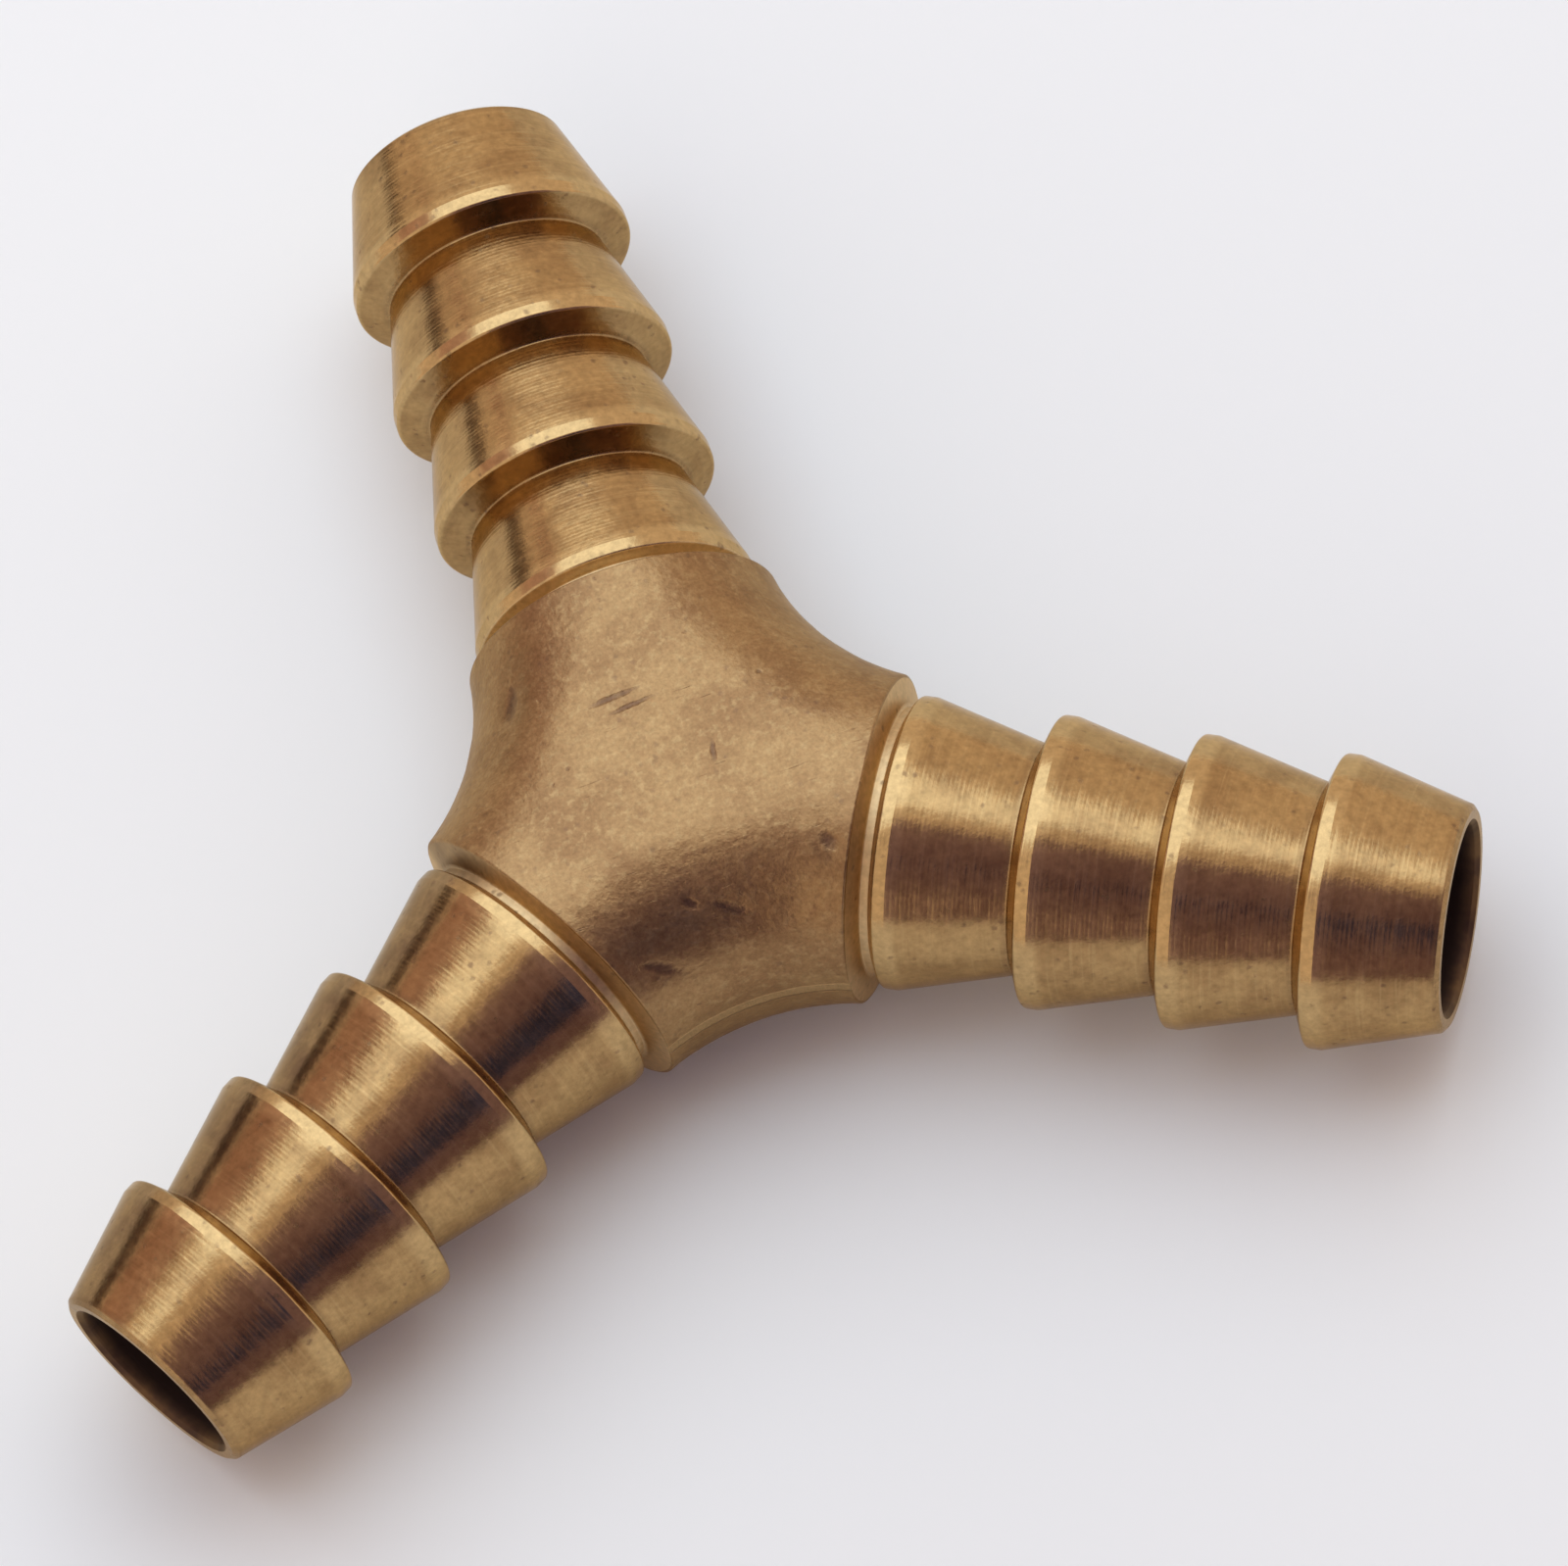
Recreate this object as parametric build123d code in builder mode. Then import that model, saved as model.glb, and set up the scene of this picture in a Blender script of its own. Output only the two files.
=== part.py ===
from build123d import *
import os
from math import radians, tan

# One-piece brass Y connector: a forged hub with three barbed tails turned on it, for
# hose of about 10 mm inside diameter. The origin is where the three bores cross,
# +Z is square to the plane of the tails, and the first tail points along +Y.
# All sizes are in millimetres and all angles in degrees.

# Layout
tail_count = 3
first_tail_angle = 90
tail_reach = 30.0          # from the crossing of the bores to the open end of a tail

# Bores
bore_radius = 3.6
mouth_chamfer = 0.2        # inner edge of each open end

# Barbs: each is a cone that falls from a narrow crest towards the open end
barb_count = 4
first_crest = 8.6          # from the crossing of the bores to the crest nearest the hub
barb_pitch = 5.45
crest_radius = 5.6
crest_land = 0.5           # width of the cylinder along each crest
root_radius = 4.4          # foot of a cone, where the next barb rises
barb_back_run = 0.5        # how far the steep back of a barb leans along the tail
nose_radius = 4.3          # open end of the last cone
nose_chamfer = 0.15        # outer edge of each open end

# Forged hub
stub_radius = 6.2          # forged stub at the turned shoulder, and half the hub's height
stub_draft = 11.0          # each stub widens towards the middle of the hub
stub_reach = 7.75          # from the crossing of the bores to the turned shoulder
web_radius = 9.5           # hollow between neighbouring stubs, seen from above
parting_band = 0.6         # flat left at mid height where the forging flash was trimmed

# Turned shoulder between the hub and the first barb
shoulder_run = 0.3
groove_radius = 5.1        # floor of the tool groove at the foot of the shoulder

# Worked out from the sizes above
groove_start = stub_reach + shoulder_run
back_slope = barb_back_run / (crest_radius - root_radius)
groove_end = first_crest - back_slope * (crest_radius - groove_radius)
stub_half_width = stub_radius + stub_reach * tan(radians(stub_draft))
clear_radius = 2 * stub_radius
shoulder_slope = shoulder_run / (stub_radius - groove_radius)
shoulder_cone_start = groove_start - shoulder_slope * (clear_radius - groove_radius)


def barb_outline():
    """Points (along the tail, radius) of the turned outline from the groove to the open end."""
    points = [(groove_end, groove_radius)]
    for n in range(barb_count):
        crest = first_crest + n * barb_pitch
        points += [(crest, crest_radius), (crest + crest_land, crest_radius)]
        if n < barb_count - 1:
            points.append((crest + barb_pitch - barb_back_run, root_radius))
    points.append((tail_reach, nose_radius))
    return points


# Turned hose tail, solid, lying along +X
with BuildPart() as hose_tail:
    with BuildSketch(Plane.XZ):
        with BuildLine():
            Polyline((0, 0), (0, groove_radius), *barb_outline(), (tail_reach, 0), close=True)
        make_face()
    revolve(axis=Axis.X)
    open_end = hose_tail.faces().sort_by(Axis.X)[-1]
    chamfer(open_end.edges(), nose_chamfer)

# Space that the lathe clears round the end of a stub: a cone down to the groove's floor
with BuildPart() as shoulder_cut:
    with BuildSketch(Plane.XZ):
        with BuildLine():
            Polyline(
                (shoulder_cone_start, clear_radius),
                (groove_start, groove_radius),
                (tail_reach, groove_radius),
                (tail_reach, clear_radius),
                close=True,
            )
        make_face()
    revolve(axis=Axis.X)

# Drilled passage of one tail, with its chamfered mouth
with BuildPart() as passage:
    with BuildSketch(Plane.XZ):
        with BuildLine():
            Polyline(
                (0, 0),
                (0, bore_radius),
                (tail_reach - mouth_chamfer, bore_radius),
                (tail_reach, bore_radius + mouth_chamfer),
                (tail_reach, 0),
                close=True,
            )
        make_face()
    revolve(axis=Axis.X)

with BuildPart() as y_connector:
    # Forged hub: three drafted stubs, hollow webs between them, and full round edges
    with BuildSketch() as hub_plan:
        with PolarLocations(0, tail_count, first_tail_angle):
            Trapezoid(
                2 * stub_half_width,
                groove_start,
                90 - stub_draft,
                rotation=-90,
                align=(Align.CENTER, Align.MIN),
            )
        inner_corners = hub_plan.vertices().group_by(SortBy.DISTANCE)[0]
        fillet(inner_corners, web_radius)
    extrude(amount=stub_radius, both=True)
    web_edges = y_connector.edges().filter_by(GeomType.CIRCLE)
    fillet(web_edges, stub_radius - parting_band / 2)

    # Turned shoulders, then the tails, then the passages that cross in the middle
    for tool, mode in (
        (shoulder_cut, Mode.SUBTRACT),
        (hose_tail, Mode.ADD),
        (passage, Mode.SUBTRACT),
    ):
        with PolarLocations(0, tail_count, first_tail_angle):
            add(tool.part, mode=mode)

y_connector.part.label = "y_connector"

os.makedirs("parts", exist_ok=True)
export_step(y_connector.part, "parts/y_connector.step")
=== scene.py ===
"""Dresses the brass Y connector: one forged hub with three barbed hose tails turned on it.

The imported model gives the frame. One fine mesh stands for its only node: the same form,
with worn crests, a forged skin on the hub and the marks of the lathe and the drill.
Sizes are in millimetres, in the connector's own frame, and turn into metres when a mesh
or a lamp is made.
"""

from __future__ import annotations

import logging
import math
from dataclasses import dataclass
from enum import Enum
from typing import ClassVar, Optional, Union

import bpy
import numpy as np
from mathutils import Matrix, Vector, noise


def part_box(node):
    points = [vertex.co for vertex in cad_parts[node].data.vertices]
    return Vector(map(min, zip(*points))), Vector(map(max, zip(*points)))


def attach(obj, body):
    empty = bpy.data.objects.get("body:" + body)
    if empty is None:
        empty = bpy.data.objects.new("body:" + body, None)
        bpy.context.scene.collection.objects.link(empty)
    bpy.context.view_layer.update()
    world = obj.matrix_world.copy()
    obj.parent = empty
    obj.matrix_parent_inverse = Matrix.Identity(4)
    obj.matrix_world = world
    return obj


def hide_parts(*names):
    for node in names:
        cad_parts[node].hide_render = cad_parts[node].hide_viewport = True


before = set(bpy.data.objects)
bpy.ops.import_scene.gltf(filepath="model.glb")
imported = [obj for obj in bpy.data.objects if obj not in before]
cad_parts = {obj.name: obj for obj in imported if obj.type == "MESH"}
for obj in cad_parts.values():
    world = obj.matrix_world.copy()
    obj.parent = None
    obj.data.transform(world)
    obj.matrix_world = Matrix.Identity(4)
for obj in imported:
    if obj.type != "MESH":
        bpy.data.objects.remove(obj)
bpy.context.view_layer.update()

log = logging.getLogger("y_connector")

MM = 0.001
NODE = "y_connector"
BODY = "root"
PLACE = "tail_place"

Colour = tuple[float, float, float]
Point = tuple[float, float, float]
Setting = Union[str, int, float, bool]


# ---------------------------------------------------------------- shader wiring


class Wire:
    """A shader socket that does arithmetic: each operator adds the Math node it needs."""

    def __init__(self, sheet: NodeSheet, socket: bpy.types.NodeSocket) -> None:
        """Keeps the sheet and the output socket that this wire starts from."""
        self.sheet = sheet
        self.socket = socket

    def _math(self, operation: str, *terms: Term) -> Wire:
        """Adds one Math node over the terms."""
        return self.sheet.node("ShaderNodeMath", {"operation": operation}, dict(enumerate(terms)))

    def __add__(self, other: Term) -> Wire:
        """Sum of this and other."""
        return self._math("ADD", self, other)

    __radd__ = __add__

    def __sub__(self, other: Term) -> Wire:
        """This less other."""
        return self._math("SUBTRACT", self, other)

    def __rsub__(self, other: Term) -> Wire:
        """Other less this."""
        return self._math("SUBTRACT", other, self)

    def __mul__(self, other: Term) -> Wire:
        """Product of this and other."""
        return self._math("MULTIPLY", self, other)

    __rmul__ = __mul__

    def __truediv__(self, other: Term) -> Wire:
        """This over other."""
        return self._math("DIVIDE", self, other)

    def __mod__(self, other: Term) -> Wire:
        """Rest of this over other, never below 0."""
        return self._math("FLOORED_MODULO", self, other)

    def __abs__(self) -> Wire:
        """This without its sign."""
        return self._math("ABSOLUTE", self)

    def root(self) -> Wire:
        """Square root of this."""
        return self._math("SQRT", self)

    def sine(self) -> Wire:
        """Sine of this, which is in radians."""
        return self._math("SINE", self)

    def top(self, other: Term) -> Wire:
        """The larger of this and other."""
        return self._math("MAXIMUM", self, other)

    def step(self, low: float, high: float) -> Wire:
        """Smooth step of this.

        Args:
            low: Where the step starts, at 0.
            high: Where the step ends, at 1. It may be below low.

        Returns:
            0 on low's side, 1 on high's side, and a smooth rise between.
        """
        limits = {"Value": self, "From Min": min(low, high), "From Max": max(low, high)}
        rise = self.sheet.node(
            "ShaderNodeMapRange", {"interpolation_type": "SMOOTHSTEP"}, limits
        )
        return rise if low <= high else 1 - rise


Term = Union[Wire, float]
Input = Union[Wire, float, tuple]


class NodeSheet:
    """The nodes of one material, added by type, settings and inputs."""

    EDGE_TINT: ClassVar[Colour] = (0.93, 0.82, 0.65)

    def __init__(self, name: str) -> None:
        """Makes an empty node material of that name."""
        self.material = bpy.data.materials.new(name)
        self.material.use_nodes = True
        self.tree = self.material.node_tree
        self.tree.nodes.clear()

    def node(
        self,
        kind: str,
        settings: Optional[dict[str, Setting]] = None,
        inputs: Optional[dict[Union[str, int], Input]] = None,
        output: Union[str, int] = 0,
    ) -> Wire:
        """Adds one node.

        Args:
            kind: Blender's type name of the node.
            settings: Properties of the node, set before its sockets.
            inputs: Values or wires, by socket name or number.
            output: Name or number of the socket that is wanted.

        Returns:
            A wire from that output.
        """
        made = self.tree.nodes.new(kind)
        for key, value in (settings or {}).items():
            setattr(made, key, value)
        for key, value in (inputs or {}).items():
            socket = made.inputs[key]
            if isinstance(value, Wire):
                self.tree.links.new(value.socket, socket)
            elif socket.type == "RGBA":
                socket.default_value = (*value[:3], 1.0)
            else:
                socket.default_value = value
        return Wire(self, made.outputs[output])

    def end(self, shader: Wire) -> bpy.types.Material:
        """Joins a shader to the material's output.

        Args:
            shader: The surface shader.

        Returns:
            The finished material.
        """
        made = self.tree.nodes.new("ShaderNodeOutputMaterial")
        self.tree.links.new(shader.socket, made.inputs["Surface"])
        return self.material

    def times(self, vector: Wire, factors: Point) -> Wire:
        """A vector with each part multiplied by its own factor."""
        return self.node(
            "ShaderNodeVectorMath", {"operation": "MULTIPLY"}, {0: vector, 1: factors}
        )

    def gap(self, vector: Wire, spot: Point) -> Wire:
        """Way from a spot to a vector, as a vector."""
        return self.node("ShaderNodeVectorMath", {"operation": "SUBTRACT"}, {0: vector, 1: spot})

    def along(self, vector: Wire, direction: Point) -> Wire:
        """Length of a vector along a direction."""
        inputs = {0: vector, 1: direction}
        return self.node("ShaderNodeVectorMath", {"operation": "DOT_PRODUCT"}, inputs, "Value")

    def parts(self, vector: Wire) -> tuple[Wire, Wire, Wire]:
        """The three parts of a vector."""
        split = self.node("ShaderNodeSeparateXYZ", inputs={0: vector}).socket.node
        return tuple(Wire(self, out) for out in split.outputs)

    def place_mm(self) -> Wire:
        """The point in the connector's frame, in millimetres."""
        point = self.node("ShaderNodeTexCoord", output="Object")
        return self.times(point, (1 / MM,) * 3)

    def place_on_tail(self) -> Wire:
        """The point in its own tail's frame, in millimetres: along, across, up."""
        settings = {"attribute_type": "GEOMETRY", "attribute_name": PLACE}
        return self.node("ShaderNodeAttribute", settings, output="Vector")

    def cloud(self, vector: Wire, scale: float, detail: float = 2.0, rough: float = 0.5) -> Wire:
        """Soft noise, about 0.5 on the whole.

        Args:
            vector: Where the noise is read.
            scale: Lumps per unit of the vector.
            detail: How many finer layers there are.
            rough: How strong each finer layer is.

        Returns:
            The noise, from 0 to 1.
        """
        inputs = {"Vector": vector, "Scale": scale, "Detail": detail, "Roughness": rough}
        return self.node("ShaderNodeTexNoise", {"noise_dimensions": "3D"}, inputs)

    def pits(self, vector: Wire, scale: float) -> Wire:
        """Distance to the nearest of many scattered pits, in cells."""
        inputs = {"Vector": vector, "Scale": scale}
        return self.node("ShaderNodeTexVoronoi", {"feature": "F1"}, inputs, "Distance")

    def mix(self, share: Term, start: Input, end: Input) -> Wire:
        """Colour that is start where share is 0 and end where it is 1."""
        return self.node("ShaderNodeMix", {"data_type": "RGBA"}, {0: share, 6: start, 7: end}, 2)

    def lit(self, colour: Wire, light: Wire) -> Wire:
        """A colour made lighter or darker by a value about 1."""
        inputs = {0: colour, "Scale": light}
        return self.node("ShaderNodeVectorMath", {"operation": "SCALE"}, inputs)

    def metal(
        self,
        colour: Wire,
        dullness: Wire,
        height_mm: Wire,
        bare: Term = 1.0,
        glint: float = 0.5,
    ) -> bpy.types.Material:
        """Ends the sheet in metal, bare or under a dull dark coat.

        Args:
            colour: Colour of the metal.
            dullness: Roughness of the metal.
            height_mm: Height of its fine relief, in millimetres.
            bare: How bare the metal is, down to 0 under the dull coat that paints shade in the
                bores.
            glint: How much the coat reflects. Bare metal doesn't change with it.

        Returns:
            The finished material.
        """
        relief = self.node("ShaderNodeBump", inputs={"Distance": MM, "Height": height_mm})
        inputs = {"Base Color": colour, "Metallic": bare, "Roughness": dullness}
        inputs |= {"Normal": relief, "Specular Tint": self.EDGE_TINT, "Specular IOR Level": glint}
        return self.end(self.node("ShaderNodeBsdfPrincipled", inputs=inputs))


# ---------------------------------------------------------------- form of the connector


class Tail(Enum):
    """The three hose tails, each by the angle of its axis from +X, in degrees."""

    FAR = 90.0
    LEFT = 210.0
    RIGHT = 330.0

    @property
    def axes(self) -> np.ndarray:
        """Rows: the directions along, across and up of this tail."""
        turn = math.radians(self.value)
        cos, sin = math.cos(turn), math.sin(turn)
        return np.array([[cos, sin, 0.0], [-sin, cos, 0.0], [0.0, 0.0, 1.0]])


@dataclass(frozen=True)
class Corner:
    """A corner of a turned outline: its place along the tail, its radius and its rounding."""

    along: float
    radius: float
    rounding: float = 0.0


@dataclass(frozen=True)
class TailSizes:
    """Sizes of a turned hose tail, in millimetres."""

    reach: float = 30.0
    bore_radius: float = 3.6
    mouth_chamfer: float = 0.2
    barb_count: int = 4
    first_crest: float = 8.6
    barb_pitch: float = 5.45
    crest_radius: float = 5.6
    crest_land: float = 0.5
    root_radius: float = 4.4
    barb_back_run: float = 0.5
    nose_radius: float = 4.3
    nose_chamfer: float = 0.15
    groove_radius: float = 5.1
    groove_start: float = 8.05
    worn: float = 0.14
    tool_nose: float = 0.08
    groove_rounding: tuple[float, float] = (0.05, 0.06)
    nose_rounding: float = 0.1
    mouth_rounding: float = 0.03

    def corners(self) -> list[Corner]:
        """Corners of the outside, from the shoulder's foot to the edge of the bore.

        Returns:
            The corners in order along the tail.
        """
        back_slope = self.barb_back_run / (self.crest_radius - self.root_radius)
        groove_end = self.first_crest - back_slope * (self.crest_radius - self.groove_radius)
        made = [
            Corner(self.groove_start, self.groove_radius, self.groove_rounding[0]),
            Corner(groove_end, self.groove_radius, self.groove_rounding[1]),
        ]
        for n in range(self.barb_count):
            crest = self.first_crest + n * self.barb_pitch
            made.append(Corner(crest, self.crest_radius, self.worn))
            made.append(Corner(crest + self.crest_land, self.crest_radius, self.worn))
            if n < self.barb_count - 1:
                foot = crest + self.barb_pitch - self.barb_back_run
                made.append(Corner(foot, self.root_radius, self.tool_nose))
        cone = self.first_crest + (self.barb_count - 1) * self.barb_pitch + self.crest_land
        fall = (self.crest_radius - self.nose_radius) / (self.reach - cone)
        start = self.reach - self.nose_chamfer
        start_radius = self.nose_radius + fall * self.nose_chamfer
        made.append(Corner(start, start_radius, self.nose_rounding))
        mouth = [
            (self.reach, self.nose_radius - self.nose_chamfer),
            (self.reach, self.bore_radius + self.mouth_chamfer),
            (self.reach - self.mouth_chamfer, self.bore_radius),
        ]
        return made + [Corner(along, radius, self.mouth_rounding) for along, radius in mouth]


@dataclass(frozen=True)
class HubSizes:
    """Sizes of the forged hub, in millimetres and degrees."""

    stub_radius: float = 6.2
    stub_draft: float = 11.0
    stub_reach: float = 7.75
    web_radius: float = 9.5
    parting_band: float = 0.6
    shoulder_run: float = 0.3
    groove_radius: float = 5.1
    worn: float = 0.12

    @property
    def roll(self) -> float:
        """Radius of the full round edge."""
        return self.stub_radius - self.parting_band / 2


class TurnedOutline:
    """The outline that the lathe leaves on a tail, with its corners rounded."""

    ARC_STEPS: ClassVar[int] = 4
    SUPPORT: ClassVar[float] = 0.03
    LONGEST: ClassVar[float] = 0.8

    def __init__(self, corners: list[Corner]) -> None:
        """Keeps the corners of the outline."""
        self.corners = corners

    def points(self) -> np.ndarray:
        """Outline with arcs at its corners and even steps between them.

        Returns:
            Rows of place along the tail and radius.
        """
        given = [np.array([c.along, c.radius]) for c in self.corners]
        made = [given[0]]
        for before, here, after, corner in zip(given, given[1:], given[2:], self.corners[1:]):
            inward = (before - here) / np.linalg.norm(before - here)
            onward = (after - here) / np.linalg.norm(after - here)
            half = math.acos(float(np.clip(inward @ onward, -1, 1))) / 2
            cut = corner.rounding / math.tan(half)
            start, end = here + inward * cut, here + onward * cut
            self._straight(made, start)
            middle = here + (inward + onward) / np.linalg.norm(inward + onward) * (
                corner.rounding / math.sin(half)
            )
            first = math.atan2(*(start - middle)[::-1])
            swing = math.atan2(*(end - middle)[::-1]) - first
            swing = (swing + math.pi) % (2 * math.pi) - math.pi
            for n in range(1, self.ARC_STEPS):
                turn = first + swing * n / self.ARC_STEPS
                made.append(middle + corner.rounding * np.array([math.cos(turn), math.sin(turn)]))
            made.append(end)
        self._straight(made, given[-1])
        return np.array(made)

    def _straight(self, made: list[np.ndarray], end: np.ndarray) -> None:
        """Adds a straight run to the points, with a support close to each of its ends."""
        start = made[-1]
        run = end - start
        length = float(np.linalg.norm(run))
        if length > 4 * self.SUPPORT:
            made.append(start + run * self.SUPPORT / length)
            count = max(1, round(length / self.LONGEST))
            made += [start + run * n / count for n in range(1, count)]
            made.append(end - run * self.SUPPORT / length)
        made.append(end)


@dataclass(frozen=True)
class Dent:
    """A dent in the forged skin: where it lies, and its half sizes and depth.

    BRUISE is how many times wider the sunk form is than the mark in the finish.
    """

    BRUISE: ClassVar[float] = 1.8

    spot: Point
    lengthwise: Point
    half_length: float
    half_width: float
    depth: float

    def depth_at(self, points: np.ndarray) -> np.ndarray:
        """How deep the dent is at each point.

        Args:
            points: Rows of points in the connector's frame.

        Returns:
            A depth for each point, in millimetres.
        """
        run = np.array(self.lengthwise) / np.linalg.norm(self.lengthwise)
        gap = points - np.array(self.spot)
        lengthwise = gap @ run
        sideways = np.linalg.norm(gap - lengthwise[..., None] * run, axis=-1)
        length, width = self.half_length * self.BRUISE, self.half_width * self.BRUISE
        return self.depth * np.exp(-((lengthwise / length) ** 2) - (sideways / width) ** 2)


@dataclass(frozen=True)
class HubForm:
    """The forged hub: hollow webs between drafted stubs, and full round edges."""

    SECTOR_HALF: ClassVar[float] = math.radians(60)
    FARTHEST: ClassVar[float] = 14.0
    HALVINGS: ClassVar[int] = 45

    sizes: HubSizes

    def inside(self, along: np.ndarray, across: np.ndarray) -> np.ndarray:
        """Distance into the hub's plan from its edge, in one tail's sector.

        Args:
            along: Places along the tail.
            across: Places across it.

        Returns:
            Distances, positive inside the plan.
        """
        s = self.sizes
        draft = math.radians(s.stub_draft)
        half_width = s.stub_radius + s.stub_reach * math.tan(draft)
        corner = half_width / (math.tan(self.SECTOR_HALF) + math.tan(draft))
        corner_reach = 2 * corner
        half_angle = self.SECTOR_HALF + draft
        middle_reach = corner_reach + s.web_radius / math.sin(half_angle)
        middle = middle_reach * np.array([0.5, math.sqrt(3) / 2])
        side = np.abs(across)
        to_arc = np.hypot(along - middle[0], side - middle[1]) - s.web_radius
        to_line = (half_width - along * math.tan(draft) - side) * math.cos(draft)
        touch = corner + s.web_radius / math.tan(half_angle) * math.cos(draft)
        touch_side = half_width - touch * math.tan(draft)
        past = (along - touch) * math.cos(draft) - (side - touch_side) * math.sin(draft)
        return np.where(past > 0, to_line, to_arc)

    def outside(self, along: np.ndarray, across: np.ndarray, up: np.ndarray) -> np.ndarray:
        """Distance out of the hub's skin, negative inside.

        Args:
            along: Places along the tail.
            across: Places across it.
            up: Heights.

        Returns:
            Distances from the skin.
        """
        roll = self.sizes.roll
        depth = self.inside(along, across)
        above = np.abs(up) - self.sizes.parting_band / 2
        short = roll - depth
        round_edge = np.hypot(short, above.clip(0)) - roll
        return np.where(above <= 0, -depth, np.where(short <= 0, above - roll, round_edge))

    def reach_of_ray(self, start: np.ndarray, rays: np.ndarray) -> np.ndarray:
        """How far each ray runs from its start on the tail's axis to the hub's skin.

        Args:
            start: Place along the tail where each ray starts.
            rays: Unit directions: along, across, up.

        Returns:
            The length of each ray.
        """
        low, high = np.zeros(len(start)), np.full(len(start), self.FARTHEST)
        for _ in range(self.HALVINGS):
            middle = (low + high) / 2
            along = start + rays[:, 0] * middle
            out = self.outside(along, rays[:, 1] * middle, rays[:, 2] * middle) > 0
            high, low = np.where(out, middle, high), np.where(out, low, middle)
        return (low + high) / 2


@dataclass(frozen=True)
class SkinRows:
    """Rings of one tail's sector, from the hub's middle over the nose to the bore's middle."""

    points: np.ndarray
    inward: np.ndarray
    turned_from: int
    drilled_from: int


@dataclass(frozen=True)
class ConnectorBody:
    """The whole connector as one closed skin: hub, tails and the passages through them.

    SHOULDER are the rings' starts along a tail, from the stub to the groove. The skin is
    turned from TURNED_FROM on, and the forged waves fade out over FADE before it.
    """

    SHOULDER: ClassVar[tuple[float, ...]] = (
        7.15, 7.3, 7.42, 7.52, 7.6, 7.66, 7.7, 7.73, 7.755, 7.78, 7.81, 7.86, 7.93, 8.0,
    )
    TURNED_FROM: ClassVar[float] = 7.755
    FADE_FROM: ClassVar[float] = 7.3
    FADE: ClassVar[float] = 0.4
    WAVES_PER_MM: ClassVar[float] = 0.55

    hub: HubSizes = HubSizes()
    tail: TailSizes = TailSizes()
    segments: int = 144
    hub_rows: int = 62
    bore_rows: int = 16
    plane_from: float = 7.0
    forged_depth: float = 0.04
    dents: tuple[Dent, ...] = ()

    def build(self) -> bpy.types.Object:
        """Makes the skin as one mesh.

        Returns:
            The connector, in metres in the connector's frame.
        """
        rows = self._rows()
        count, around = rows.points.shape[:2]
        points = np.stack([self._forged(rows, tail) for tail in Tail])
        corners = self._corners(count)
        used, joined = np.unique(self._shared(count)[corners], return_inverse=True)
        mesh = bpy.data.meshes.new(NODE + "_skin")
        mesh.from_pydata(
            (points.reshape(-1, 3)[used] * MM).tolist(), [], joined.reshape(-1, 4).tolist()
        )
        places = np.tile(rows.points.reshape(-1, 3), (len(Tail), 1))[corners.reshape(-1)]
        mesh.attributes.new(PLACE, "FLOAT_VECTOR", "CORNER")
        mesh.attributes[PLACE].data.foreach_set("vector", places.astype("f4").ravel())
        row_of_face = np.tile(np.repeat(np.arange(count - 1), around), len(Tail))
        starts = [rows.turned_from, rows.drilled_from]
        slots = np.searchsorted(starts, row_of_face, side="right")
        mesh.polygons.foreach_set("material_index", slots.astype("i4"))
        mesh.polygons.foreach_set("use_smooth", np.ones(len(corners), bool))
        mesh.update()
        made = bpy.data.objects.new("connector_skin", mesh)
        bpy.context.scene.collection.objects.link(made)
        return made

    def dress(self, made: bpy.types.Object, finishes: list[Finish]) -> None:
        """Gives the skin its finishes, in the order hub, tails, passages."""
        for finish in finishes:
            made.data.materials.append(finish.material())

    def _corners(self, count: int) -> np.ndarray:
        """Faces between the rings of all tails, each as four numbers of points."""
        around = self.segments
        row = np.arange(count - 1)[:, None] * around
        here = np.arange(around)[None, :]
        after = (here + 1) % around
        below = row + around
        quads = np.stack([row + here, below + here, below + after, row + after], -1)
        return np.concatenate([quads.reshape(-1, 4) + n * count * around for n in range(len(Tail))])

    def _shared(self, count: int) -> np.ndarray:
        """Number of the point that stands for each point, where sectors meet.

        Args:
            count: How many rings a sector has.

        Returns:
            A number for each point of all sectors.
        """
        around, half = self.segments, self.segments // 2
        number = np.arange(len(Tail) * count * around).reshape(len(Tail), count, around)
        for row in (0, -1):
            mirrored = np.roll(number[:, row, ::-1], 1, axis=-1)
            number[:, row, 1:half] = np.roll(mirrored, -1, axis=0)[:, 1:half]
            number[:, row, [0, half]] = number[0, row, [0, half]]
        return number.ravel()

    def _rows(self) -> SkinRows:
        """Rings of the true form, and the way inward where the skin is forged.

        Returns:
            The rings, in a tail's frame: along, across, up.
        """
        turn = np.arange(self.segments) * 2 * math.pi / self.segments
        sin, cos = np.sin(turn), np.cos(turn)
        sin[[0, self.segments // 2]] = 0.0
        hub, inward, shoulder_row = self._hub_rings(sin, cos)
        outline = TurnedOutline(self.tail.corners()).points()
        turned = [self._ring(along, radius, sin, cos) for along, radius in outline]
        middle = np.abs(self.tail.bore_radius * sin) / math.sqrt(3)
        mouth = outline[-1, 0]
        bore = []
        for n in range(1, self.bore_rows + 1):
            ring = self._ring(0.0, self.tail.bore_radius, sin, cos)
            ring[:, 0] = mouth + (middle - mouth) * n / self.bore_rows
            bore.append(ring)
        points = np.array([*hub, *turned, *bore])
        still = np.zeros((len(points) - len(hub), self.segments, 3))
        mouth_row = len(hub) + len(turned) - TurnedOutline.ARC_STEPS
        return SkinRows(points, np.concatenate([inward, still]), shoulder_row, mouth_row)

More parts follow.
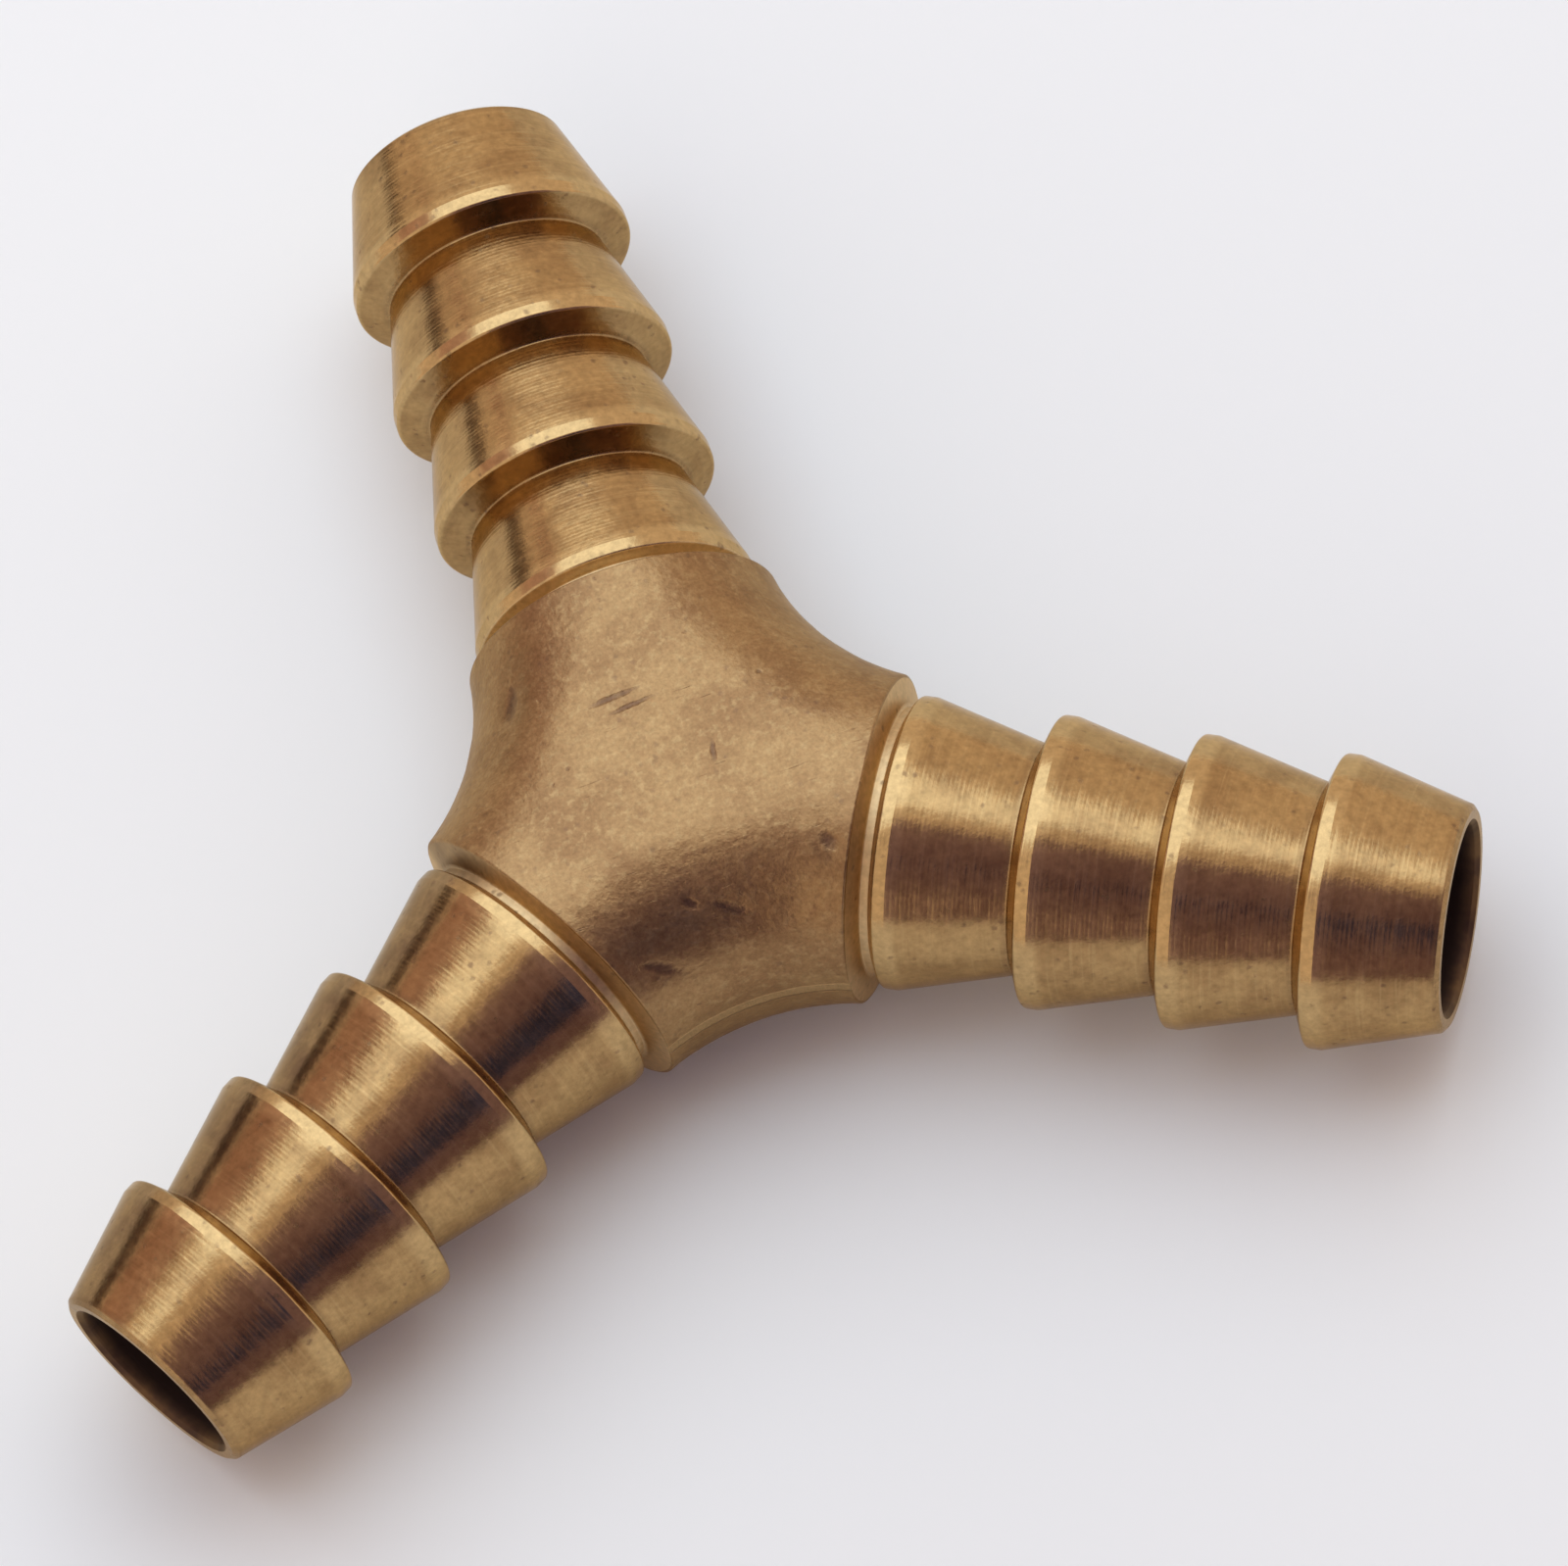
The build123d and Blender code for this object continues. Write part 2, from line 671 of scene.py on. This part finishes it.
    def _ring(self, along: float, radius: float, sin: np.ndarray, cos: np.ndarray) -> np.ndarray:
        """A ring of points round the tail's axis."""
        return np.stack([np.full(len(sin), along), radius * sin, radius * cos], -1)

    def _hub_rings(self, sin: np.ndarray, cos: np.ndarray) -> tuple[list, np.ndarray, int]:
        """Rings of the hub and its turned shoulder.

        Args:
            sin: Sine of each segment's angle from the top.
            cos: Cosine of it.

        Returns:
            Rings from the planes between the tails to the foot of the shoulder, the way
            inward at each point, and the row where the turned shoulder starts.
        """
        form = HubForm(self.hub)
        hub = self.hub
        starts = [self.plane_from * n / self.hub_rows for n in range(self.hub_rows + 1)]
        slope = (hub.stub_radius - hub.groove_radius) / hub.shoulder_run
        rings, inward = [], []
        for start in (*starts, *self.SHOULDER):
            lean = math.radians(60 + 30 * min(1.0, start / self.plane_from))
            rays = np.stack([np.abs(sin) * math.cos(lean), sin * math.sin(lean), cos], -1)
            rays /= np.linalg.norm(rays, axis=1)[:, None]
            reach = form.reach_of_ray(np.full(len(sin), start), rays)
            cone = hub.groove_radius + slope * (self.tail.groove_start - start)
            blend = np.clip(0.5 + 0.5 * (cone - reach) / hub.worn, 0, 1)
            reach = cone + (reach - cone) * blend - hub.worn * blend * (1 - blend)
            rings.append(rays * reach[:, None] + (start, 0.0, 0.0))
            inward.append(-rays * (1 - np.clip((start - self.FADE_FROM) / self.FADE, 0, 1)))
        return rings, np.array(inward), len(starts) + self.SHOULDER.index(self.TURNED_FROM)

    def _forged(self, rows: SkinRows, tail: Tail) -> np.ndarray:
        """A tail's sector in the connector's frame, with soft waves of the die and dents.

        Args:
            rows: The true form of a sector.
            tail: The tail whose sector is wanted.

        Returns:
            Its points, sunk where the skin is forged and never raised.
        """
        points, inward = rows.points @ tail.axes, rows.inward @ tail.axes
        forged = np.abs(inward).sum(-1) > 0
        skin = points[forged]
        scale = self.WAVES_PER_MM
        waves = np.array([noise.fractal(Vector(p) * scale, 1.0, 2.1, 3) for p in skin])
        sunk = self.forged_depth * (0.5 + 0.5 * np.clip(waves, -1, 1))
        sunk += sum(dent.depth_at(skin) for dent in self.dents)
        points[forged] += inward[forged] * sunk[:, None]
        return points


# ---------------------------------------------------------------- finishes


@dataclass(frozen=True)
class BrassTones:
    """Colours of the brass, from bright to tarnished, with one dark tone for grime and for painted
    shade.
    """

    bright: Colour = (0.405, 0.262, 0.122)
    plain: Colour = (0.335, 0.2, 0.09)
    tarnish: Colour = (0.262, 0.145, 0.066)
    grime_and_shade: Colour = (0.12, 0.065, 0.045)
    # cut: the pale tone of the painted light on the groove before the first crest.
    cut: Colour = (0.62, 0.45, 0.25)


@dataclass(frozen=True)
class Finish:
    """A finish of the brass, which makes its own material."""

    name: str
    tones: BrassTones = BrassTones()

    def material(self) -> bpy.types.Material:
        """Makes the material of this finish."""
        raise NotImplementedError

    def spots(self, sheet: NodeSheet, place: Wire) -> Wire:
        """Small scattered spots of old tarnish.

        Args:
            sheet: The sheet to draw on.
            place: The point, in millimetres.

        Returns:
            How tarnished the point is, from 0 to 1.
        """
        where = sheet.cloud(place, 0.9, 2).step(0.46, 0.62)
        ragged = sheet.cloud(place, 5.0, 2, 0.6)
        return where * (sheet.pits(place, 1.9) + ragged * 0.45).step(0.52, 0.30)


@dataclass(frozen=True)
class ForgedFinish(Finish):
    """Forged and tumbled skin of the hub, with its trimmed parting band and its dings."""

    band_half: float = 0.3
    dings: tuple[Dent, ...] = ()

    def material(self) -> bpy.types.Material:
        """Makes the forged finish.

        Returns:
            The material.
        """
        sheet = NodeSheet(self.name)
        place = sheet.place_mm()
        _, _, up = sheet.parts(place)
        grain = sheet.cloud(place, 2.6, 3, 0.62)
        fine = sheet.cloud(place, 7.0, 2, 0.6)
        patches = sheet.cloud(place, 0.42, 3, 0.6)
        pit = sheet.pits(place, 0.6).step(0.1, 0.03) * grain.step(0.45, 0.6)
        scores = sheet.cloud(sheet.times(place, (0.7, 9.0, 3.0)), 1.0, 2).step(0.66, 0.74)
        scores = scores * sheet.cloud(place, 0.5).step(0.5, 0.62)
        wander = sheet.cloud(place, 1.3) * 0.16
        band = (abs(up) + wander).step(self.band_half + 0.12, self.band_half)
        shear = sheet.cloud(sheet.times(place, (7.0, 7.0, 0.6)), 1.0, 3)
        ding = self._dings(sheet, place)

        colour = sheet.mix(patches.step(0.36, 0.7), self.tones.plain, self.tones.tarnish)
        colour = sheet.mix(grain.step(0.48, 0.7) * 0.6, colour, self.tones.bright)
        colour = sheet.mix(grain.step(0.45, 0.3) * 0.5, colour, self.tones.tarnish)
        spots = self.spots(sheet, place)
        colour = sheet.mix(pit * 0.5 + scores * 0.3 + spots * 0.35, colour, self.tones.grime_and_shade)
        colour = sheet.mix(band * 0.8, colour, self.tones.bright)
        # Painted shade: the dings are darkened, as the shade inside the dents.
        colour = sheet.mix(ding * 0.75, colour, self.tones.grime_and_shade)
        colour = sheet.lit(colour, 0.64 + fine * 0.72)
        dullness = 0.26 + patches * 0.1 + fine * 0.12 + pit * 0.1 - band * 0.06
        height = grain * 0.024 + fine * 0.006 + patches * 0.06 - pit * 0.02 - scores * 0.006
        height = height + band * (0.02 + shear * 0.02) - ding * 0.025
        return sheet.metal(colour, dullness, height)

    def _dings(self, sheet: NodeSheet, place: Wire) -> Wire:
        """Depth of all dings at a point, from 0 outside them to 1 at their floors.

        Args:
            sheet: The sheet to draw on.
            place: The point, in millimetres.

        Returns:
            The depth's share.
        """
        total: Optional[Wire] = None
        ragged = (sheet.cloud(place, 3.0, 3, 0.65) - 0.45) * 2.6
        for ding in self.dings:
            run = tuple(np.array(ding.lengthwise) / np.linalg.norm(ding.lengthwise))
            way = sheet.gap(place, ding.spot)
            lengthwise = sheet.along(way, run)
            x, y, z = sheet.parts(way)
            square = x * x + y * y + z * z - lengthwise * lengthwise
            far = lengthwise * lengthwise * ding.half_length**-2 + square * ding.half_width**-2
            here = (far + ragged).step(2.2, -0.2)
            total = here if total is None else total.top(here)
        return total


@dataclass(frozen=True)
class TurnedFinish(Finish):
    """Turned skin of the hose tails: rings of the tool, worn crests, painted shade at the roots
    and painted light in the groove.

    The left tail has painted shade on the flank that faces SHADED_FLANK_SIDE (across, up), standing
    in for the dark reflection of that flank, and the painted shade starts over SHADED_FLANK_X, from
    none to all of it.
    """

    SHADED_FLANK_SIDE: ClassVar[tuple[float, float]] = (-0.77, 0.64)
    SHADED_FLANK_X: ClassVar[tuple[float, float]] = (-6.5, -9.0)

    tones: BrassTones = BrassTones(
        bright=(0.52, 0.345, 0.155), plain=(0.43, 0.27, 0.115), tarnish=(0.33, 0.195, 0.083)
    )
    sizes: TailSizes = TailSizes()
    feed: float = 0.17

    def material(self) -> bpy.types.Material:
        """Makes the turned finish.

        Returns:
            The material.
        """
        sheet = NodeSheet(self.name)
        place = sheet.place_mm()
        on_tail = sheet.place_on_tail()
        along, across, up = sheet.parts(on_tail)
        radius = (across * across + up * up).root()
        s = self.sizes
        rings = sheet.cloud(sheet.times(on_tail, (6.5, 0.16, 0.16)), 1.0, 3, 0.6)
        wide_rings = sheet.cloud(sheet.times(on_tail, (1.5, 0.22, 0.22)), 1.0, 2, 0.5)
        feed = (along * (2 * math.pi / self.feed)).sine()
        patches = sheet.cloud(place, 0.55, 3, 0.6)
        speck = sheet.cloud(place, 3.4, 3, 0.65)
        crest = radius.step(s.crest_radius - 0.16, s.crest_radius - 0.04)
        phase = (along - s.first_crest) % s.barb_pitch
        foot = s.barb_pitch - s.barb_back_run
        # root: the crease at the foot of each barb, where shade is painted and the metal is duller.
        root = phase.step(foot - 0.35, foot - 0.02) * radius.step(4.75, 4.5)

        colour = sheet.mix(patches.step(0.36, 0.7), self.tones.plain, self.tones.tarnish)
        colour = sheet.mix(rings.step(0.5, 0.72) * 0.4, colour, self.tones.bright)
        colour = sheet.mix(rings.step(0.46, 0.3) * 0.35, colour, self.tones.tarnish)
        # The crests are worn bright. Painted light: the shoulder and groove before the first crest
        # are painted bright and in the pale cut tone, which lifts them out of the groove's shade.
        groove = along.step(s.first_crest + 0.1, s.first_crest - 0.1)
        colour = sheet.mix(crest.top(groove) * 0.8, colour, self.tones.bright)
        colour = sheet.mix(groove * 0.75, colour, self.tones.cut)
        spots = self.spots(sheet, place)
        # Painted shade: the upper flank of the left tail that faces SHADED_FLANK_SIDE is darkened,
        # clouded by the patches, standing in for the dark reflection that flank shows.
        side_across, side_up = self.SHADED_FLANK_SIDE
        outer = (up * side_up - across * -side_across) / radius
        flank_shade = outer.step(0.84, 0.97) * sheet.parts(place)[0].step(*self.SHADED_FLANK_X)
        # Painted shade in the barb roots; the tarnish spots are real grime.
        colour = sheet.mix(root * 0.2 + spots * 0.45, colour, self.tones.grime_and_shade)
        colour = sheet.mix(flank_shade * (0.2 + patches * 0.7), colour, self.tones.grime_and_shade)
        colour = sheet.lit(colour, 0.6 + speck * 0.8)
        dullness = 0.12 + wide_rings * 0.07 + speck * 0.08 + root * 0.08 + spots * 0.12
        dullness = dullness + groove * 0.22
        height = feed * 0.00045 + rings * 0.0045 + wide_rings * 0.012 + speck * 0.006
        return sheet.metal(colour, dullness, height + patches * 0.012)


@dataclass(frozen=True)
class DrilledFinish(Finish):
    """Drilled passages: dark oxide, darkened towards near black by painted shade, with the
    drill's rings.

    The painted shade deep in the bore starts over SHADE_FROM along the tail, from none to all of
    it.
    """

    SHADE_FROM: ClassVar[tuple[float, float]] = (29.95, 29.2)

    oxide_and_shade: Colour = (0.018, 0.010, 0.009)
    glint: float = 0.1

    def material(self) -> bpy.types.Material:
        """Makes the drilled finish.

        Returns:
            The material.
        """
        sheet = NodeSheet(self.name)
        on_tail = sheet.place_on_tail()
        along, _, _ = sheet.parts(on_tail)
        rings = sheet.cloud(sheet.times(on_tail, (3.0, 0.3, 0.3)), 1.0, 3, 0.6)
        patches = sheet.cloud(on_tail, 0.6, 3, 0.6)
        deep = along.step(*self.SHADE_FROM)
        colour = sheet.mix(patches.step(0.35, 0.65), self.tones.tarnish, self.tones.grime_and_shade)
        # Partly dark oxide and partly painted shade: the passage is darkened towards near black
        # over its whole length. Past SHADE_FROM the painted shade is full and the metal becomes a
        # dull dark coat.
        colour = sheet.mix(0.45 + deep * 0.53, colour, self.oxide_and_shade)
        dullness = 0.42 + patches * 0.1 + deep * 0.4
        height = rings * 0.03 + patches * 0.02
        return sheet.metal(colour, dullness, height, 1 - deep, self.glint)


# ---------------------------------------------------------------- studio


@dataclass(frozen=True)
class Floor:
    """Pale matt table on which the connector lies."""

    height: float
    half_side: float = 4000.0
    colour: Colour = (0.90, 0.925, 0.925)

    def lay(self) -> bpy.types.Object:
        """Makes the table top.

        Returns:
            The table top.
        """
        side, up = self.half_side * MM, self.height * MM
        mesh = bpy.data.meshes.new("table_top")
        corners = [(-side, -side, up), (side, -side, up), (side, side, up), (-side, side, up)]
        mesh.from_pydata(corners, [], [(0, 1, 2, 3)])
        sheet = NodeSheet("table_paper")
        inputs = {"Base Color": self.colour, "Roughness": 0.9, "Specular IOR Level": 0.2}
        mesh.materials.append(sheet.end(sheet.node("ShaderNodeBsdfPrincipled", inputs=inputs)))
        made = bpy.data.objects.new("table_top", mesh)
        bpy.context.scene.collection.objects.link(made)
        return made


@dataclass(frozen=True)
class Card:
    """A dull card beside the set, which the camera looks through and the metal reflects."""

    name: str
    rows: tuple[tuple[Point, ...], ...]
    colour: Colour

    def hang(self) -> bpy.types.Object:
        """Makes the card.

        Returns:
            The card.
        """
        mesh = bpy.data.meshes.new(self.name)
        points = [tuple(x * MM for x in point) for row in self.rows for point in row]
        wide = len(self.rows[0])
        faces = [
            (n, n + 1, n + wide + 1, n + wide)
            for n in range(len(points) - wide)
            if n % wide < wide - 1
        ]
        mesh.from_pydata(points, [], faces)
        sheet = NodeSheet(self.name + "_paper")
        inputs = {"Base Color": self.colour, "Roughness": 1.0, "Specular IOR Level": 0.0}
        mesh.materials.append(sheet.end(sheet.node("ShaderNodeBsdfPrincipled", inputs=inputs)))
        made = bpy.data.objects.new(self.name, mesh)
        bpy.context.scene.collection.objects.link(made)
        made.visible_camera = False
        return made


@dataclass(frozen=True)
class SoftBox:
    """A broad flat lamp."""

    name: str
    centre: Point
    aim: Point
    width: float
    depth: float
    brightness: float
    colour: Colour = (1.0, 1.0, 1.0)

    def hang(self) -> bpy.types.Object:
        """Makes the lamp, hidden from the camera itself.

        Returns:
            The lamp.
        """
        light = bpy.data.lights.new(self.name, "AREA")
        light.shape = "RECTANGLE"
        light.size, light.size_y = self.width * MM, self.depth * MM
        light.energy = self.brightness * math.pi * light.size * light.size_y
        light.color = self.colour
        made = bpy.data.objects.new(self.name, light)
        bpy.context.scene.collection.objects.link(made)
        made.location = Vector(self.centre) * MM
        backward = Vector(self.centre) - Vector(self.aim)
        made.rotation_euler = backward.to_track_quat("Z", "Y").to_euler()
        made.visible_camera = False
        return made


@dataclass(frozen=True)
class Studio:
    """The table, the lamp, the cards and the soft light of the room."""

    LAMP_HEIGHT: ClassVar[float] = 560.0
    CARD_TOP: ClassVar[float] = 565.0

    table_height: float
    room: Colour = (0.91, 0.78, 0.69)
    cool: Colour = (0.73, 1.0, 1.26)

    def set_up(self) -> None:
        """Makes the whole set."""
        Floor(self.table_height).lay()
        centre, aim = (10, 400, self.LAMP_HEIGHT), (10, 400, 0)
        SoftBox("overhead_softbox", centre, aim, 700, 900, 1.12, self.cool).hang()
        front = (
            self._row(self.CARD_TOP, (-170, -160), (1000, -160)),
            self._row(500, (-190, -520), (1050, -520)),
            self._row(330, (-225, -830), (1100, -830)),
            self._row(-6, (-340, -970), (1150, -970)),
        )
        inner = (
            self._row(400, (25, -390), (230, -330)),
            self._row(180, (15, -520), (200, -500)),
        )
        left = (
            self._row(self.CARD_TOP, (-1300, 200), (-370, 200)),
            self._row(self.CARD_TOP, (-1300, 1300), (-520, 1300)),
        )
        side = tuple(self._row(height, (-690, 580), (-505, 742)) for height in (-5, 215))
        Card("front_card", front, (0.41, 0.31, 0.44)).hang()
        Card("dark_card", inner, (0.05, 0.07, 0.22)).hang()
        Card("left_card", left, (0.80, 0.59, 0.60)).hang()
        Card("side_card", side, (0.12, 0.08, 0.07)).hang()
        world = bpy.data.worlds.new("room")
        world.use_nodes = True
        world.node_tree.nodes["Background"].inputs["Color"].default_value = (*self.room, 1.0)
        bpy.context.scene.world = world
        bpy.context.scene.view_settings.view_transform = "Standard"

    def _row(self, height: float, *places: tuple[float, float]) -> tuple[Point, ...]:
        """Points of a card at one height."""
        return tuple((x, y, height) for x, y in places)


@dataclass(frozen=True)
class Viewpoint:
    """Where the camera stands: angles in degrees and distances in millimetres."""

    SENSOR_WIDTH: ClassVar[float] = 36.0
    CLIP: ClassVar[tuple[float, float]] = (0.01, 20.0)

    azimuth: float = -0.893
    elevation: float = 63.581
    roll: float = -18.615
    distance: float = 397.91
    aim_right: float = 3.728
    aim_up: float = 1.092
    lens: float = 240.14

    def place(self) -> bpy.types.Object:
        """Makes the camera and gives it to the scene.

        Returns:
            The camera.
        """
        azimuth, elevation, roll = (
            math.radians(x) for x in (self.azimuth, self.elevation, self.roll)
        )
        back = Vector((
            math.sin(azimuth) * math.cos(elevation),
            -math.cos(azimuth) * math.cos(elevation),
            math.sin(elevation),
        ))
        level = Vector((math.cos(azimuth), math.sin(azimuth), 0.0))
        over = back.cross(level)
        right = math.cos(roll) * level + math.sin(roll) * over
        above = math.cos(roll) * over - math.sin(roll) * level
        stand = back * self.distance
        look = (stand - right * self.aim_right - above * self.aim_up).normalized()
        right = (right - look * right.dot(look)).normalized()
        above = look.cross(right)
        data = bpy.data.cameras.new("camera")
        data.sensor_width = self.SENSOR_WIDTH
        data.lens = self.lens
        data.clip_start, data.clip_end = self.CLIP
        made = bpy.data.objects.new("camera", data)
        bpy.context.scene.collection.objects.link(made)
        made.matrix_world = Matrix.Translation(stand * MM) @ Matrix(
            (right, above, look)
        ).transposed().to_4x4()
        bpy.context.scene.camera = made
        return made


# ---------------------------------------------------------------- making


DINGS = (
    Dent((-1.31, 2.48, 6.19), (1.0, 0.06, 0.0), 0.95, 0.11, 0.04),
    Dent((-0.60, 1.93, 6.2), (0.99, 0.1, 0.0), 0.85, 0.09, 0.04),
    Dent((-4.98, 4.33, 4.86), (-0.37, -0.93, 0.03), 0.72, 0.3, 0.10),
    Dent((4.62, -5.94, 5.66), (0.33, -0.88, -0.33), 0.36, 0.24, 0.06),
    Dent((-1.04, -6.20, 5.04), (0.85, -0.39, -0.34), 0.34, 0.2, 0.05),
    Dent((0.32, -6.67, 4.62), (0.83, -0.42, -0.37), 0.7, 0.19, 0.05),
    Dent((-2.94, -7.71, 3.91), (0.81, -0.21, -0.54), 0.7, 0.22, 0.05),
    Dent((1.67, -1.05, 6.2), (0.2, 1.0, 0.0), 0.4, 0.1, 0.03),
)


def main() -> None:
    """Builds the connector, then the studio and the camera."""
    logging.basicConfig(level=logging.INFO, format="%(message)s")
    low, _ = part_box(NODE)
    body = ConnectorBody(dents=DINGS)
    skin = body.build()
    body.dress(
        skin,
        [
            ForgedFinish("forged_brass", dings=DINGS),
            TurnedFinish("turned_brass"),
            DrilledFinish("drilled_brass"),
        ],
    )
    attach(skin, BODY)
    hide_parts(NODE)
    log.info("%s: %d faces", skin.name, len(skin.data.polygons))
    Studio(low.z / MM).set_up()
    log.info("studio set up")
    camera = Viewpoint().place()
    log.info("%s placed, lens %.1f mm", camera.name, camera.data.lens)


if __name__ == "__main__":
    main()
